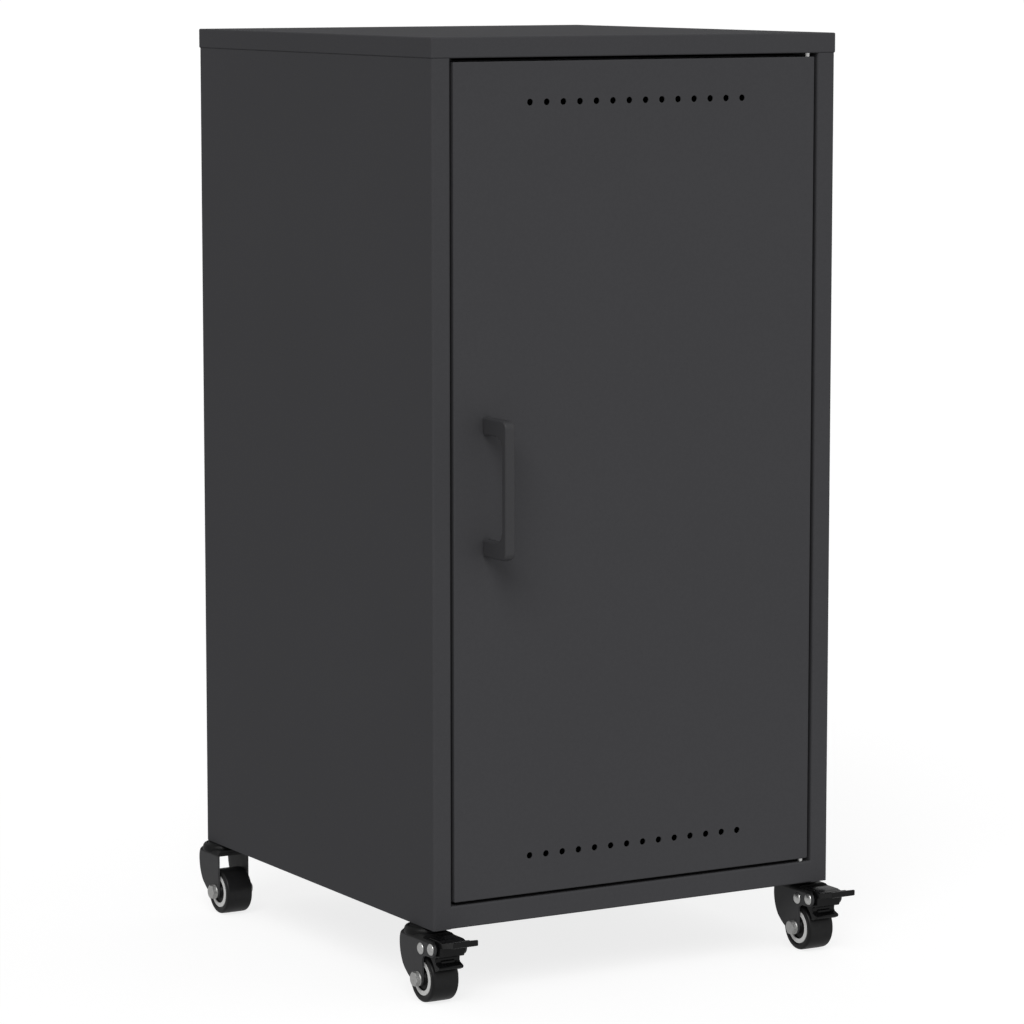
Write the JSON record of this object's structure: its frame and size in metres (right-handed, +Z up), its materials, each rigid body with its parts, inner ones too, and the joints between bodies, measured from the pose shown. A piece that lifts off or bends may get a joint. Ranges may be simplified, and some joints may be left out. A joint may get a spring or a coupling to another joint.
{
  "type": "rolling pedestal cabinet",
  "caption": "Narrow steel cabinet on swivel casters, with a hinged vented door, bridge handle, flat lid and an inner shelf for storing files and supplies beside a desk.",
  "frame": {"origin": "centre of the bounding box's bottom face, on the floor, with the door closed and every caster trailing forwards", "axes": "+Z up, -Y out of the door front, +X to the viewer's right when facing the door"},
  "size_m": [0.4136, 0.4658, 0.793],
  "materials": {
    "powder_coat": "fine satin anthracite powder coat",
    "black_steel": "satin black coated steel",
    "tyre_rubber": "smooth black tread",
    "pale_plastic": "light grey moulded core",
    "pedal_black": "glossy black",
    "black_plastic": "matte black moulding",
    "zinc": "bright zinc plate"
  },
  "bodies": {
    "cabinet": {"top_panel": "powder_coat", "left_side_panel": "powder_coat", "right_side_panel": "powder_coat", "back_panel": "powder_coat", "floor_panel": "powder_coat", "bottom_rail": "powder_coat", "top_rail": "powder_coat", "shelf": "powder_coat", "shelf_runner_left": "powder_coat", "shelf_runner_right": "powder_coat", "hinge_pin_top": "zinc", "hinge_pin_bottom": "zinc", "hinge_bracket_top": "zinc", "hinge_bracket_bottom": "zinc", "magnet_catch": "black_plastic", "back_screw_left_lower": "zinc", "back_screw_left_upper": "zinc", "back_screw_right_lower": "zinc", "back_screw_right_upper": "zinc", "caster_mount_front_left": "zinc", "caster_mount_front_right": "zinc", "caster_mount_rear_left": "zinc", "caster_mount_rear_right": "zinc", "caster_stem_front_left": "black_steel", "caster_stem_front_right": "black_steel", "caster_stem_rear_left": "black_steel", "caster_stem_rear_right": "black_steel"},
    "door": {"door_panel": "powder_coat", "door_stiffener": "powder_coat", "handle": "powder_coat", "handle_screw_lower": "zinc", "handle_screw_upper": "zinc", "catch_strike": "zinc"},
    "swivel_front_left": {"fork_front_left": "black_steel", "axle_bolt_front_left": "zinc", "axle_nut_front_left": "zinc", "front_rivet_front_left": "zinc", "rear_rivet_front_left": "zinc"},
    "wheel_front_left": {"tyre_front_left": "tyre_rubber", "wheel_core_front_left": "pale_plastic"},
    "swivel_front_right": {"fork_front_right": "black_steel", "axle_bolt_front_right": "zinc", "axle_nut_front_right": "zinc", "front_rivet_front_right": "zinc", "rear_rivet_front_right": "zinc"},
    "wheel_front_right": {"tyre_front_right": "tyre_rubber", "wheel_core_front_right": "pale_plastic"},
    "swivel_rear_left": {"fork_rear_left": "black_steel", "axle_bolt_rear_left": "zinc", "axle_nut_rear_left": "zinc"},
    "wheel_rear_left": {"tyre_rear_left": "tyre_rubber", "wheel_core_rear_left": "pale_plastic"},
    "swivel_rear_right": {"fork_rear_right": "black_steel", "axle_bolt_rear_right": "zinc", "axle_nut_rear_right": "zinc"},
    "wheel_rear_right": {"tyre_rear_right": "tyre_rubber", "wheel_core_rear_right": "pale_plastic"},
    "brake_front_left": {"brake_pedal_front_left": "pedal_black"},
    "brake_front_right": {"brake_pedal_front_right": "pedal_black"}
  },
  "joints": [
    {"name": "door_hinge", "type": "hinge", "parent": "cabinet", "child": "door", "pos_m": [0.1698, -0.1897, 0.4284], "axis": [0, 0, 1], "range_deg": [0, 110]},
    {"name": "swivel_turn_front_left", "type": "hinge", "parent": "cabinet", "child": "swivel_front_left", "pos_m": [-0.1865, -0.1635, 0.0571], "axis": [0, 0, 1], "continuous": true},
    {"name": "wheel_spin_front_left", "type": "hinge", "parent": "swivel_front_left", "child": "wheel_front_left", "pos_m": [-0.1865, -0.1801, 0.0203], "axis": [1, 0, 0], "continuous": true},
    {"name": "swivel_turn_front_right", "type": "hinge", "parent": "cabinet", "child": "swivel_front_right", "pos_m": [0.1865, -0.1635, 0.0571], "axis": [0, 0, 1], "continuous": true},
    {"name": "wheel_spin_front_right", "type": "hinge", "parent": "swivel_front_right", "child": "wheel_front_right", "pos_m": [0.1865, -0.1801, 0.0203], "axis": [1, 0, 0], "continuous": true},
    {"name": "swivel_turn_rear_left", "type": "hinge", "parent": "cabinet", "child": "swivel_rear_left", "pos_m": [-0.1865, 0.2155, 0.0571], "axis": [0, 0, 1], "continuous": true},
    {"name": "wheel_spin_rear_left", "type": "hinge", "parent": "swivel_rear_left", "child": "wheel_rear_left", "pos_m": [-0.1865, 0.1989, 0.0203], "axis": [1, 0, 0], "continuous": true},
    {"name": "swivel_turn_rear_right", "type": "hinge", "parent": "cabinet", "child": "swivel_rear_right", "pos_m": [0.1865, 0.2155, 0.0571], "axis": [0, 0, 1], "continuous": true},
    {"name": "wheel_spin_rear_right", "type": "hinge", "parent": "swivel_rear_right", "child": "wheel_rear_right", "pos_m": [0.1865, 0.1989, 0.0203], "axis": [1, 0, 0], "continuous": true},
    {"name": "brake_press_front_left", "type": "hinge", "parent": "swivel_front_left", "child": "brake_front_left", "pos_m": [-0.1865, -0.2015, 0.049], "axis": [1, 0, 0], "range_deg": [0, 12]},
    {"name": "brake_press_front_right", "type": "hinge", "parent": "swivel_front_right", "child": "brake_front_right", "pos_m": [0.1865, -0.2015, 0.049], "axis": [1, 0, 0], "range_deg": [0, 12]}
  ]
}
